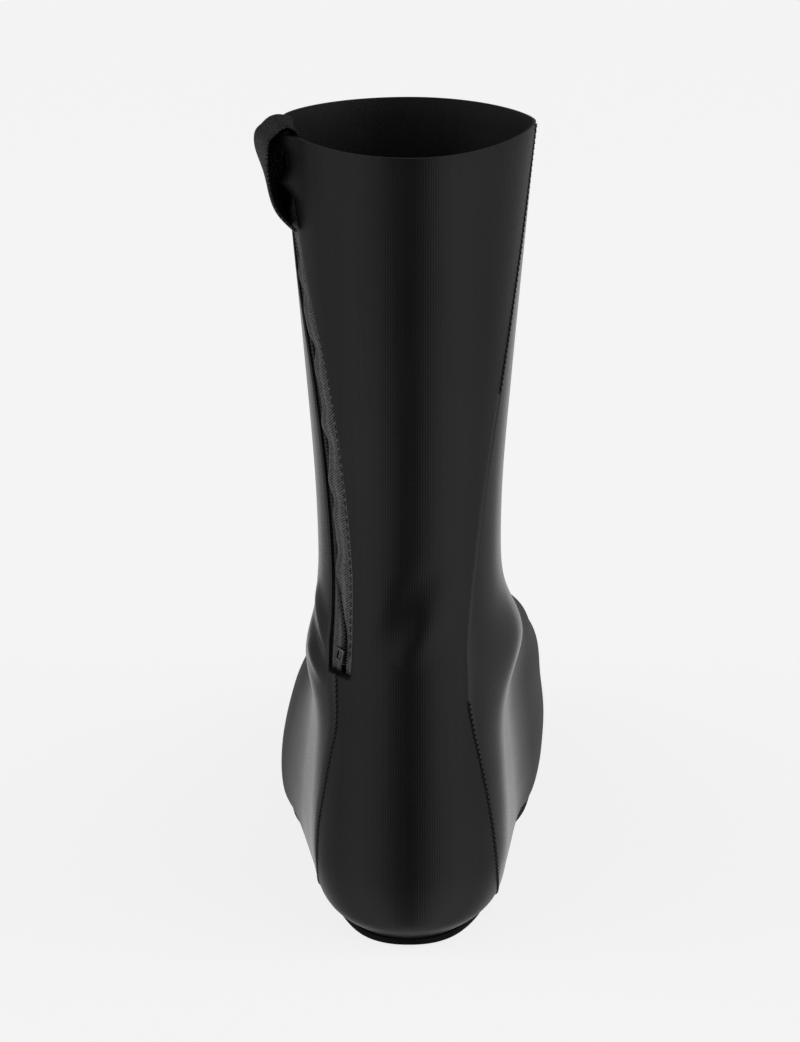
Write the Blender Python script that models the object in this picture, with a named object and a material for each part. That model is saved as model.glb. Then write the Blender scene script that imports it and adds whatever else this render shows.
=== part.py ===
"""Cycling overshoe for the left foot: a hollow stretch upper on a thin sole panel, with an outer side zip.

Sizes are in millimetres until a mesh is made. +Y points to the toe, +X to the foot's inner side and +Z up.
The floor is Z = 0, and the origin is under the middle of the overshoe.
"""

import math
from collections import namedtuple

import bmesh
import bpy
import numpy as np
from mathutils import Matrix, Vector

MM = 0.001
GAP = 0.3

# Main sizes
LENGTH = 278.0
WALL = 1.4
LATERAL, MEDIAL = -1, 1

# Level sections of the upper, from the sole edge to the collar.
# A level is a closed loop from a point on the heel line (back) to one on the toe and instep line (front).
# heel, lateral, medial: half widths at the heel and at the ball.
# back_cap, front_cap: how far each end rounds off. power: 2 is an ellipse's end and less is a pointed lens.
# blunt: how much sooner both ends reach the full width on the outer side, where the zip makes it flat.
# ridge: how far the front end lies to the inner side. follow: share of the sole's arch and toe spring.
Level = namedtuple(
    "Level",
    "name back_y back_z front_y front_z heel lateral medial back_cap front_cap power blunt ridge follow",
)
LEVELS = [
    Level("sole_edge", -128.5, 2.5, 130.0, 2.5, 24.5, 47.0, 44.5, 44.0, 88.0, 2.0, 0.0, 7.0, 1.00),
    Level("welt", -135.0, 9.0, 137.0, 9.5, 31.0, 51.0, 48.0, 44.0, 90.0, 2.1, 0.0, 7.0, 0.95),
    Level("heel_bulge", -139.0, 24.0, 139.0, 21.0, 34.4, 51.5, 48.5, 44.0, 92.0, 2.2, 0.0, 8.0, 0.75),
    Level("toe_top", -138.0, 40.0, 134.5, 37.0, 34.8, 49.0, 46.5, 45.0, 94.0, 2.2, 0.0, 9.0, 0.45),
    Level("vamp_low", -135.5, 54.0, 120.0, 51.5, 34.0, 45.5, 44.5, 45.0, 96.0, 2.2, 0.0, 11.0, 0.25),
    Level("vamp", -132.5, 67.0, 92.0, 64.5, 33.2, 41.2, 42.0, 45.0, 98.0, 2.1, 0.0, 12.5, 0.10),
    Level("vamp_high", -129.5, 79.0, 62.0, 75.5, 32.8, 38.2, 40.5, 45.0, 96.0, 2.1, 0.0, 14.0, 0.0),
    Level("instep_low", -127.0, 89.0, 32.0, 86.5, 32.8, 37.0, 38.5, 45.0, 90.0, 2.0, 0.0, 14.5, 0.0),
    Level("instep", -125.5, 98.0, 6.0, 97.5, 33.0, 35.5, 36.5, 45.0, 80.0, 2.0, 0.0, 13.0, 0.0),
    Level("throat", -124.5, 108.0, -16.0, 108.5, 33.2, 34.5, 34.5, 45.0, 65.0, 2.0, 0.0, 7.0, 0.0),
    Level("ankle", -124.0, 120.0, -31.0, 121.0, 33.0, 33.2, 33.2, 44.0, 52.0, 2.0, 0.0, 3.0, 0.0),
    Level("ankle_top", -124.5, 138.0, -41.0, 139.5, 32.7, 32.7, 32.7, 43.0, 42.0, 2.0, 0.0, 1.0, 0.0),
    Level("shaft_low", -126.0, 165.0, -46.5, 166.0, 33.6, 33.6, 33.6, 44.0, 37.0, 2.0, 1.0, 0.0, 0.0),
    Level("shaft_mid", -128.5, 201.0, -48.5, 202.0, 36.4, 36.4, 36.4, 46.0, 34.0, 1.9, 2.5, 0.0, 0.0),
    Level("shaft_high", -131.0, 246.0, -48.5, 247.5, 40.4, 40.4, 40.4, 49.0, 33.5, 1.7, 5.0, 0.0, 0.0),
    Level("collar", -133.0, 290.5, -48.0, 292.5, 44.5, 44.5, 44.5, 51.5, 33.5, 1.5, 7.0, 0.0, 0.0),
]
ROW_OF = {level.name: row for row, level in enumerate(LEVELS)}
COLLAR = ROW_OF["collar"]

# Edges of the rear panel at each level, as shares of the half width: its hem by the zip on the outer side
# and its seam on the inner side
Edge = namedtuple("Edge", "name hem seam")
EDGES = [
    Edge("sole_edge", 1.0, 1.0),
    Edge("welt", 0.985, 0.985),
    Edge("heel_bulge", 0.8925, 0.915),
    Edge("toe_top", 0.8475, 0.865),
    Edge("vamp_low", 0.7875, 0.8225),
    Edge("vamp", 0.725, 0.765),
    Edge("vamp_high", 0.6475, 0.6975),
    Edge("instep_low", 0.6325, 0.6425),
    Edge("instep", 0.625, 0.625),
    Edge("throat", 0.61, 0.61),
    Edge("ankle", 0.61, 0.6425),
    Edge("ankle_top", 0.6225, 0.71),
    Edge("shaft_low", 0.6725, 0.79),
    Edge("shaft_mid", 0.755, 0.8825),
    Edge("shaft_high", 0.9175, 0.9575),
    Edge("collar", 0.9575, 0.995),
]

# Where the heel's width ends and the ball's begins on each side, and where along a level the ridge begins
Station = namedtuple("Station", "heel ball")
STATIONS = {LATERAL: Station(-112.0, 30.0), MEDIAL: Station(-128.0, 38.0)}
RIDGE_FROM = 0.3

# Ankle bones that show through the cloth: side, centre along the foot, height, spreads and swell
AnkleBone = namedtuple("AnkleBone", "side y z spread_y spread_z swell")
ANKLE_BONES = [
    AnkleBone(LATERAL, -80.0, 96.0, 24.0, 16.0, 4.0),
    AnkleBone(MEDIAL, -74.0, 99.0, 24.0, 17.0, 6.5),
]

# Mesh density of the upper: columns from heel line to hem, across the zip slot, and on to the front
REAR_STEPS = 8
SLOT_STEPS = 2
FRONT_STEPS = 20
LOOPS_PER_LEVEL = 2

# Sole panel: flat under heel and ball, with a bevel at the heel, an arch, and toe spring
SOLE_THICK = 2.2
SOLE_LIP = 0.6
SOLE_ROWS = 40
SOLE_COLUMNS = 8
HEEL_BEVEL_FROM, HEEL_BEVEL_RISE = -116.0, 2.5
ARCH_FROM, ARCH_TO, ARCH_RISE = -80.0, 12.0, 5.0
SPRING_FROM, SPRING_RISE = 60.0, 15.0

# Openings in the sole panel: centre, half sizes, and the power of their rounded outline
Window = namedtuple("Window", "name y x half_length half_width")
WINDOWS = [
    Window("heel_window", -99.0, 0.0, 15.0, 13.0),
    Window("cleat_window", 38.0, 2.0, 38.0, 29.0),
]
WINDOW_POWER = 2.6
WINDOW_SIDES = 28
CUTTER_REACH = 30.0

# Zip: places across it are measured ahead of the hem, and depths inwards from the upper's outer face
ZIP_END = ROW_OF["instep"]
SLIDER_LEVEL = COLLAR - 0.26
SLOT_WIDTH = 13.4
TAPE_DEPTH = WALL + GAP
TAPE_THICK = 0.6
TAPE_INNER = TAPE_DEPTH + TAPE_THICK
ZIP_LOOPS_PER_LEVEL = 3

# The coil's middle line, and how it drifts towards the hem at the zip's lower end
COIL_MIDDLE = 11.1
COIL_DRIFT, DRIFT_LOW, DRIFT_HIGH = -5.5, 9.2, 11.2

# Strips of the zip: drift says whether an edge follows the coil's drift (1) or not (0)
Strip = namedtuple("Strip", "name low high rear rear_drift front front_drift outer inner columns")
STRIPS = [
    Strip("zip_tape_rear", ZIP_END - 0.5, COLLAR - 0.05, -5.0, 0, 9.6, 1, TAPE_DEPTH, TAPE_INNER, 4),
    Strip("zip_tape_front", ZIP_END - 0.5, COLLAR - 0.05, 12.7, 1, 19.5, 0, TAPE_DEPTH, TAPE_INNER, 3),
    Strip("zip_coil", ZIP_END + 0.2, SLIDER_LEVEL + 0.015, 9.9, 1, 12.3, 1, 0.5, 2.3, 2),
]

# Bottom stop: a small frame on the coil, turned a little
STOP_LEVEL, STOP_TURN = ZIP_END + 0.68, -10.0
STOP_LENGTH, STOP_WIDTH, STOP_THICK = 5.2, 4.4, 1.0
STOP_BAR = 1.0
STOP_BASE = -0.2

# Slider: plates outside and inside the tapes, a post between them, and two ears with a pin for the tab
PLATE_LENGTH, PLATE_WIDTH = 8.6, 6.2
OUTER_PLATE_LOW, OUTER_PLATE_HIGH = 0.35, 1.2
INNER_PLATE_LOW, INNER_PLATE_HIGH = -4.3, -3.3
POST_WIDTH, POST_LOW, POST_HIGH = 2.2, 1.2, 4.2
EAR_INSIDE, EAR_OUTSIDE, EAR_LENGTH, EAR_HIGH = 1.5, 2.4, 2.6, 4.2
PIN_ALONG, PIN_OUT, PIN_RADIUS = 1.0, 3.2, 0.55
PIN_SIDES = 12

# Pull tab: an eye round the pin and a plate that hangs from it
EYE_INNER, EYE_OUTER, EYE_HALF = 0.9, 1.65, 1.1
TAB_FROM, TAB_LENGTH, TAB_WIDTH, TAB_THICK = 0.8, 7.0, 4.0, 0.9

# Pull loop: webbing that rises inside the collar, turns over the rim and drops to the zip outside it.
# up and out: place over the rim and out from the upper. lean: shift ahead along the zip.
# flat: 0 where the webbing follows the upper's curve and 1 where it stands off as a flat band.
# turn: slope of that band, so that its rear edge lies nearer the upper (below 0) or further off.
LoopRow = namedtuple("LoopRow", "name up out lean flat turn")
LOOP_PATH = [
    LoopRow("inner_end", -6.2, -3.3, 0.0, 0.0, 0.0),
    LoopRow("inner", -3.2, -3.3, 0.0, 0.0, 0.0),
    LoopRow("inner_top", 0.0, -3.0, 0.0, 0.0, 0.0),
    LoopRow("crest", 2.6, 0.2, 0.0, 0.15, -0.30),
    LoopRow("outer_top", 1.6, 4.2, 0.0, 0.55, -0.30),
    LoopRow("shoulder", -3.5, 7.8, 0.0, 1.0, -0.28),
    LoopRow("belly", -10.5, 8.7, 0.5, 1.0, -0.26),
    LoopRow("fall", -20.0, 6.2, 1.5, 0.9, -0.08),
    LoopRow("outer_toe", -28.0, 3.2, 2.5, 0.5, 0.10),
    LoopRow("outer_end", -32.5, 1.2, 3.0, 0.0, 0.10),
]
LOOP_THICK = 1.3
LOOP_REAR, LOOP_FRONT, LOOP_COLUMNS = -4.0, 20.0, 6
LOOP_STEPS = 3

# The band's front edge tucks back to the upper: where that begins across the band, and how far out it ends
TUCK_FROM, TUCK_OUT = 11.0, 1.4

# Colour and roughness of each piece
Finish = namedtuple("Finish", "colour roughness metallic")
FINISHES = {
    "upper": Finish((0.030, 0.030, 0.032), 0.55, 0.0),
    "sole": Finish((0.012, 0.012, 0.012), 0.70, 0.0),
    "zip_tape_rear": Finish((0.060, 0.060, 0.062), 0.80, 0.0),
    "zip_tape_front": Finish((0.060, 0.060, 0.062), 0.80, 0.0),
    "zip_coil": Finish((0.015, 0.015, 0.015), 0.45, 0.0),
    "zip_bottom_stop": Finish((0.300, 0.300, 0.300), 0.30, 1.0),
    "zip_slider": Finish((0.060, 0.060, 0.062), 0.35, 1.0),
    "zip_pull_tab": Finish((0.060, 0.060, 0.062), 0.35, 1.0),
    "pull_loop": Finish((0.050, 0.050, 0.052), 0.85, 0.0),
}
TINY = 0.0001


def smoothstep(low, high, value):
    share = np.clip((value - low) / (high - low), 0.0, 1.0)
    return share * share * (3.0 - 2.0 * share)


def curve_at(rows, v):
    """Values at row number v, read along a smooth curve through the rows."""
    last = len(rows) - 1
    row = min(max(int(math.floor(v)), 0), last - 1)
    before, start, end, after = [np.array(rows[min(max(row + k, 0), last)]) for k in (-1, 0, 1, 2)]
    leave, arrive = (end - before) / 2, (after - start) / 2
    share = v - row
    a = 2 * start - 2 * end + leave + arrive
    b = -3 * start + 3 * end - 2 * leave - arrive
    return ((a * share + b) * share + leave) * share + start


def level_at(v):
    return Level("between", *curve_at([level[1:] for level in LEVELS], v))


def sole_rise(y):
    """Height of the sole line over its flat spots: bevel at the heel, arch, and toe spring."""
    bevel = HEEL_BEVEL_RISE * np.clip((HEEL_BEVEL_FROM - y) / (LENGTH / 2 + HEEL_BEVEL_FROM), 0, 1) ** 2
    arch = ARCH_RISE * np.sin(math.pi * np.clip((y - ARCH_FROM) / (ARCH_TO - ARCH_FROM), 0, 1)) ** 2
    spring = SPRING_RISE * np.clip((y - SPRING_FROM) / (LENGTH / 2 - SPRING_FROM), 0, 1) ** 2
    return bevel + arch + spring


def cap(distance, length, power):
    """Share of the full width at a distance from a loop's end."""
    left = 1.0 - np.clip(distance / length, 0.0, 1.0)
    return np.sqrt(np.maximum(1.0 - left**power, 0.0))


def upper_point(v, side, angle):
    """Points of the outer face on level v. Angle 0 is the heel line and pi is the toe and instep line."""
    level = level_at(v)
    along = (1.0 - np.cos(angle)) / 2
    y = level.back_y + (level.front_y - level.back_y) * along
    z = level.back_z + (level.front_z - level.back_z) * along + level.follow * sole_rise(y)
    ball = level.lateral if side == LATERAL else level.medial
    half = level.heel + (ball - level.heel) * smoothstep(STATIONS[side].heel, STATIONS[side].ball, y)
    for bone in ANKLE_BONES:
        if bone.side == side:
            far = ((y - bone.y) / bone.spread_y) ** 2 + ((z - bone.z) / bone.spread_z) ** 2
            half = half + bone.swell * np.exp(-far)
    blunt = level.blunt if side == LATERAL else 0.0
    half = half * cap(y - level.back_y, level.back_cap - blunt, level.power)
    half = half * cap(level.front_y - y, level.front_cap - blunt, level.power)
    x = level.ridge * smoothstep(RIDGE_FROM, 1.0, along) + side * half
    return np.stack([x, y, z], axis=-1)


def edge_angle(v, side):
    """Angle of the rear panel's edge on level v."""
    level = level_at(v)
    hem, seam = curve_at([edge[1:] for edge in EDGES], v)
    share = min(hem if side == LATERAL else seam, 1.0)
    length = level.back_cap - (level.blunt if side == LATERAL else 0.0)
    distance = length * (1.0 - (1.0 - share**2) ** (1.0 / level.power))
    return math.acos(1.0 - 2.0 * distance / (level.front_y - level.back_y))


def zip_angle(v, ahead):
    """Angle on the lateral side that lies some way ahead of the rear panel's edge on level v."""
    angle = edge_angle(v, LATERAL)
    while abs(ahead) > TINY:
        stride = np.sign(ahead) * min(abs(ahead), 1.0)
        here, there = upper_point(v, LATERAL, np.array([angle, angle + TINY]))
        angle += stride * TINY / np.linalg.norm(there - here)
        ahead -= stride
    return angle


def drift_at(v):
    """How far the coil lies from its middle line at level v."""
    return COIL_DRIFT * (1.0 - smoothstep(DRIFT_LOW, DRIFT_HIGH, v))


def zip_frame(v, ahead):
    """Point of the outer face by the zip, with unit directions up the zip, across it and outwards."""
    angle = zip_angle(v, ahead)
    here, front = upper_point(v, LATERAL, np.array([angle - TINY, angle + TINY]))
    below = upper_point(v - TINY, LATERAL, np.array(zip_angle(v - TINY, ahead)))
    above = upper_point(v + TINY, LATERAL, np.array(zip_angle(v + TINY, ahead)))
    up = (above - below) / np.linalg.norm(above - below)
    out = np.cross(up, front - here)
    out /= np.linalg.norm(out)
    return (here + front) / 2, up, np.cross(up, out), out


def add_object(name, mesh_data, origin=(0.0, 0.0, 0.0)):
    """Make a named object with its own material from a bmesh in millimetres."""
    bmesh.ops.recalc_face_normals(mesh_data, faces=mesh_data.faces[:])
    bmesh.ops.translate(mesh_data, vec=-Vector(origin), verts=mesh_data.verts[:])
    bmesh.ops.scale(mesh_data, vec=(MM, MM, MM), verts=mesh_data.verts[:])
    mesh = bpy.data.meshes.new(name)
    mesh_data.to_mesh(mesh)
    mesh_data.free()
    piece = bpy.data.objects.new(name, mesh)
    piece.location = Vector(origin) * MM
    bpy.context.scene.collection.objects.link(piece)
    if name in FINISHES:
        finish = FINISHES[name]
        material = bpy.data.materials.new(name)
        material.use_nodes = True
        shader = material.node_tree.nodes["Principled BSDF"]
        shader.inputs["Base Color"].default_value = (*finish.colour, 1.0)
        shader.inputs["Roughness"].default_value = finish.roughness
        shader.inputs["Metallic"].default_value = finish.metallic
        mesh.materials.append(material)
    return piece


def combine(target, tool, operation):
    """Apply a tool solid to a target with an exact Boolean, and keep the tool out of the build."""
    tool.hide_render = True
    tool.display_type = "WIRE"
    change = target.modifiers.new(operation.lower(), "BOOLEAN")
    change.operation = operation
    change.solver = "EXACT"
    change.object = tool


def shell(outer, inner, present, closed):
    """Solid between two grids of points. Missing cells leave a hole, and closed grids join their ends."""
    data = bmesh.new()
    rows, columns = outer.shape[0], outer.shape[1]
    faces = [[[data.verts.new(point) for point in row] for row in grid] for grid in (outer, inner)]
    cells = {(i, j) for i in range(present.shape[0]) for j in range(present.shape[1]) if present[i, j]}
    used = set()
    for i, j in cells:
        k = (j + 1) % columns if closed else j + 1
        corners = [(i, j), (i, k), (i + 1, k), (i + 1, j)]
        beyond = [(i - 1, j), (i, j + 1), (i + 1, j), (i, j - 1)]
        if closed:
            beyond = [(a, b % columns) for a, b in beyond]
        used.update(corners)
        data.faces.new([faces[0][a][b] for a, b in corners])
        data.faces.new([faces[1][a][b] for a, b in reversed(corners)])
        for side in range(4):
            if beyond[side] not in cells:
                (a, b), (c, d) = corners[side], corners[(side + 1) % 4]
                data.faces.new([faces[0][c][d], faces[0][a][b], faces[1][a][b], faces[1][c][d]])
    loose = [grid[a][b] for grid in faces for a in range(rows) for b in range(columns) if (a, b) not in used]
    bmesh.ops.delete(data, geom=loose, context="VERTS")
    return data


def normals_of(grid):
    """Outward unit normals of a closed grid of loops."""
    around = np.roll(grid, -1, axis=1) - np.roll(grid, 1, axis=1)
    upward = np.gradient(grid, axis=0)
    normals = np.cross(upward, around)
    return normals / np.linalg.norm(normals, axis=2, keepdims=True)


def upper_loop(v):
    """One loop: the outer side from heel to toe, with columns on the zip's edges, then the inner side."""
    rear, front = zip_angle(v, 0.0), zip_angle(v, SLOT_WIDTH)
    seam = edge_angle(v, MEDIAL)
    lateral = np.concatenate([
        np.linspace(0.0, rear, REAR_STEPS, endpoint=False),
        np.linspace(rear, front, SLOT_STEPS, endpoint=False),
        np.linspace(front, math.pi, FRONT_STEPS + 1),
    ])
    medial = np.concatenate([
        np.linspace(0.0, seam, REAR_STEPS, endpoint=False)[1:],
        np.linspace(seam, math.pi, FRONT_STEPS + SLOT_STEPS, endpoint=False),
    ])[::-1]
    return np.concatenate([upper_point(v, LATERAL, lateral), upper_point(v, MEDIAL, medial)])


def make_upper():
    loops = np.linspace(0, COLLAR, COLLAR * LOOPS_PER_LEVEL + 1)
    outer = np.array([upper_loop(v) for v in loops])
    inner = outer - WALL * normals_of(outer)
    present = np.ones((len(loops) - 1, outer.shape[1]), dtype=bool)
    present[ZIP_END * LOOPS_PER_LEVEL:, REAR_STEPS:REAR_STEPS + SLOT_STEPS] = False
    add_object("upper", shell(outer, inner, present, closed=True))


def make_sole():
    angles = np.linspace(0.0, math.pi, SOLE_ROWS + 1)
    lateral = upper_point(0, LATERAL, angles)
    medial = upper_point(0, MEDIAL, angles)
    lateral[1:-1, 0] -= SOLE_LIP
    medial[1:-1, 0] += SOLE_LIP
    data = bmesh.new()
    rows = []
    for left, right in zip(lateral, medial):
        top_z = left[2] - GAP
        count = 0 if abs(right[0] - left[0]) < 1.0 else SOLE_COLUMNS
        spread = np.linspace(left[0], right[0], count + 1)
        rows.append([[data.verts.new((x, left[1], z)) for x in spread] for z in (top_z, top_z - SOLE_THICK)])
    for near, far in zip(rows, rows[1:]):
        for a, b in zip(near, far):
            for j in range(SOLE_COLUMNS):
                ring = [a[min(j, len(a) - 1)], a[min(j + 1, len(a) - 1)]]
                ring += [b[min(j + 1, len(b) - 1)], b[min(j, len(b) - 1)]]
                data.faces.new(list(dict.fromkeys(ring)))
        for end in (0, -1):
            ring = [near[0][end], far[0][end], far[1][end], near[1][end]]
            data.faces.new(ring)
    sole = add_object("sole", data)
    for window in WINDOWS:
        combine(sole, make_cutter(window), "DIFFERENCE")


def make_cutter(window):
    """Upright prism with a rounded outline."""
    data = bmesh.new()
    rings = []
    for z in (-CUTTER_REACH, CUTTER_REACH):
        ring = []
        for k in range(WINDOW_SIDES):
            turn = 2 * math.pi * (k + 0.5) / WINDOW_SIDES
            across, along = math.cos(turn), math.sin(turn)
            size = (abs(across) ** WINDOW_POWER + abs(along) ** WINDOW_POWER) ** (-1 / WINDOW_POWER)
            x = window.x + window.half_width * size * across
            y = window.y + window.half_length * size * along
            ring.append(data.verts.new((x, y, z)))
        rings.append(ring)
    data.faces.new(rings[0])
    data.faces.new(rings[1])
    for k in range(WINDOW_SIDES):
        after = (k + 1) % WINDOW_SIDES
        data.faces.new([rings[0][k], rings[0][after], rings[1][after], rings[1][k]])
    return add_object(window.name, data)


def make_strip(strip):
    """A band that follows the upper along the zip."""
    count = int(round((strip.high - strip.low) * ZIP_LOOPS_PER_LEVEL)) + 1
    outer, inner = [], []
    for v in np.linspace(strip.low, strip.high, count):
        rear = strip.rear + strip.rear_drift * drift_at(v)
        front = strip.front + strip.front_drift * drift_at(v)
        frames = [zip_frame(v, ahead) for ahead in np.linspace(rear, front, strip.columns + 1)]
        outer.append([point - strip.outer * out for point, _, _, out in frames])
        inner.append([point - strip.inner * out for point, _, _, out in frames])
    present = np.ones((count - 1, strip.columns), dtype=bool)
    add_object(strip.name, shell(np.array(outer), np.array(inner), present, closed=False))


def make_loop():
    """Webbing of even thickness along the loop path, square to the path."""
    path = [row[1:] for row in LOOP_PATH]
    steps = np.linspace(0, len(path) - 1, (len(path) - 1) * LOOP_STEPS + 1)
    columns = np.linspace(LOOP_REAR, LOOP_FRONT, LOOP_COLUMNS + 1)
    outer, inner = [], []
    for step in steps:
        row = LoopRow("between", *curve_at(path, step))
        run = (curve_at(path, step + TINY) - curve_at(path, step - TINY))[:2]
        up, out = np.array([-run[1], run[0]]) / np.linalg.norm(run) * LOOP_THICK / 2
        for rows, side in ((outer, 1), (inner, -1)):
            rows.append([loop_point(row, side * up, side * out, across) for across in columns])
    present = np.ones((len(steps) - 1, LOOP_COLUMNS), dtype=bool)
    add_object("pull_loop", shell(np.array(outer), np.array(inner), present, closed=False))


def loop_point(row, more_up, more_out, across):
    """Point of the webbing on a row of its path, some way across it and off its middle face."""
    rise, reach = row.up + more_up, row.out + more_out
    level = COLLAR + min(rise, 0.0) / (LEVELS[COLLAR].back_z - LEVELS[COLLAR - 1].back_z)
    middle = (LOOP_REAR + LOOP_FRONT) / 2
    tuck = row.flat * smoothstep(TUCK_FROM, LOOP_FRONT, across)
    point, _, _, out = zip_frame(level, across + row.lean)
    curved = point + (reach + tuck * (TUCK_OUT - row.out)) * out
    along = np.array([row.turn, math.sqrt(1.0 - row.turn**2), 0.0])
    outward = np.array([-along[1], along[0], 0.0])
    centre = zip_frame(level, middle + row.lean)[0]
    straight = centre + (across - middle) * along + reach * outward
    place = curved + row.flat * (1.0 - tuck) * (straight - curved)
    return place + np.array([0.0, 0.0, max(rise, 0.0)])


def frame_matrix(origin, up, across, out):
    return Matrix([[across[i], up[i], out[i], origin[i]] for i in range(3)] + [[0, 0, 0, 1]])


def add_box(data, low, high, place):
    """A box between two corners, given as across, up and out in the frame of the zip."""
    size = Vector(high) - Vector(low)
    middle = (Vector(high) + Vector(low)) / 2
    scale = Matrix.Diagonal((*size, 1.0))
    bmesh.ops.create_cube(data, size=1.0, matrix=place @ Matrix.Translation(middle) @ scale)


def box_object(name, low, high, place):
    data = bmesh.new()
    add_box(data, low, high, place)
    return add_object(name, data)


def rod_object(name, radius, half, place):
    """A rod across the zip."""
    data = bmesh.new()
    turn = Matrix.Rotation(math.pi / 2, 4, "Y")
    bmesh.ops.create_cone(
        data,
        cap_ends=True,
        segments=PIN_SIDES,
        radius1=radius,
        radius2=radius,
        depth=2 * half,
        matrix=place @ turn,
    )
    return add_object(name, data, place.translation)


def make_bottom_stop():
    place = frame_matrix(*zip_frame(STOP_LEVEL, COIL_MIDDLE + drift_at(STOP_LEVEL)))
    place = place @ Matrix.Rotation(math.radians(STOP_TURN), 4, "Z")
    half_width, half_length = STOP_WIDTH / 2, STOP_LENGTH / 2
    columns = [-half_width, STOP_BAR - half_width, half_width - STOP_BAR, half_width]
    lines = [-half_length, STOP_BAR - half_length, half_length - STOP_BAR, half_length]
    grids = [
        np.array([[place @ Vector((x, y, z)) for x in columns] for y in lines])
        for z in (STOP_BASE + STOP_THICK, STOP_BASE)
    ]
    present = np.ones((3, 3), dtype=bool)
    present[1, 1] = False
    add_object("zip_bottom_stop", shell(grids[0], grids[1], present, closed=False))


def make_slider():
    place = frame_matrix(*zip_frame(SLIDER_LEVEL, COIL_MIDDLE))
    half_width, half_length = PLATE_WIDTH / 2, PLATE_LENGTH / 2
    outer_low = (-half_width, -half_length, OUTER_PLATE_LOW)
    slider = box_object("zip_slider", outer_low, (half_width, half_length, OUTER_PLATE_HIGH), place)
    inner_low = (-half_width, -half_length, INNER_PLATE_LOW)
    inner_plate = box_object("inner_plate", inner_low, (half_width, half_length, INNER_PLATE_HIGH), place)
    ear_base = (OUTER_PLATE_LOW + OUTER_PLATE_HIGH) / 2
    post_low = (-POST_WIDTH / 2, POST_LOW, (INNER_PLATE_LOW + INNER_PLATE_HIGH) / 2)
    post = box_object("post", post_low, (POST_WIDTH / 2, POST_HIGH, ear_base), place)
    combine(slider, post, "UNION")
    combine(slider, inner_plate, "UNION")
    for side in (-1, 1):
        near, far = sorted((side * EAR_INSIDE, side * EAR_OUTSIDE))
        ear_low = (near, PIN_ALONG - EAR_LENGTH / 2, ear_base)
        ear = box_object("ear", ear_low, (far, PIN_ALONG + EAR_LENGTH / 2, EAR_HIGH), place)
        combine(slider, ear, "UNION")
    pin_place = place @ Matrix.Translation((0.0, PIN_ALONG, PIN_OUT))
    pin_half = (EAR_INSIDE + EAR_OUTSIDE) / 2
    combine(slider, rod_object("pin", PIN_RADIUS, pin_half, pin_place), "UNION")
    make_tab(pin_place)


def make_tab(pin_place):
    """The tab hangs plumb from the pin."""
    across = pin_place.to_3x3().col[0]
    down = Vector((0.0, 0.0, -1.0))
    down = (down - across * down.dot(across)).normalized()
    origin = pin_place.translation
    place = frame_matrix(origin, -down, across, across.cross(-down))
    tab = rod_object("zip_pull_tab", EYE_OUTER, EYE_HALF, place)
    plate_low = (-TAB_WIDTH / 2, -TAB_LENGTH, -TAB_THICK / 2)
    plate = box_object("tab_plate", plate_low, (TAB_WIDTH / 2, -TAB_FROM - EYE_OUTER, TAB_THICK / 2), place)
    neck_low = (-EYE_HALF, -TAB_FROM - EYE_OUTER - 1.0, -TAB_THICK / 2)
    neck = box_object("tab_neck", neck_low, (EYE_HALF, -EYE_INNER - 0.3, TAB_THICK / 2), place)
    combine(tab, neck, "UNION")
    combine(tab, plate, "UNION")
    combine(tab, rod_object("eye_hole", EYE_INNER, 2 * EYE_HALF, place), "DIFFERENCE")


def main():
    for item in list(bpy.data.objects):
        bpy.data.objects.remove(item, do_unlink=True)
    make_upper()
    make_sole()
    for strip in STRIPS:
        make_strip(strip)
    make_bottom_stop()
    make_slider()
    make_loop()


main()
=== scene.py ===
"""Looks of the cycling overshoe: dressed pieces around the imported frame, with a floor, lights and a camera.

Sizes are in millimetres until a mesh is made. +Y points to the toe, +X to the foot's inner side and +Z up.
"""

import math
from collections import namedtuple
from functools import lru_cache

import bmesh
import bpy
import numpy as np
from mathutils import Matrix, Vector


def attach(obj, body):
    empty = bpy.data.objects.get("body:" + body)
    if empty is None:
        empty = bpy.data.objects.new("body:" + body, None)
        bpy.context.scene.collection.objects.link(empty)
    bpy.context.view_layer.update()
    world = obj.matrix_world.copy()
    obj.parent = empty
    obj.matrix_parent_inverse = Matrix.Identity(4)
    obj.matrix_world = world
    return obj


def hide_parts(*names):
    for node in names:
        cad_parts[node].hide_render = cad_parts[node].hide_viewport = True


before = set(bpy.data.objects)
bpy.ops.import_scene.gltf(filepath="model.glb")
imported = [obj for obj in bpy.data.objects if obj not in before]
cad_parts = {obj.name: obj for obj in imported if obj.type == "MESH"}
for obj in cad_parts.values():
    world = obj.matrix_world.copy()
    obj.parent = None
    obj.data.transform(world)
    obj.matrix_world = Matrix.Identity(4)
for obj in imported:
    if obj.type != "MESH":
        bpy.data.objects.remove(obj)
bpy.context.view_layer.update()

MM = 0.001
GAP = 0.3
LENGTH = 278.0
WALL = 1.4
LATERAL, MEDIAL = -1, 1
SHOE, TAB = "overshoe", "pull_tab"

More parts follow.
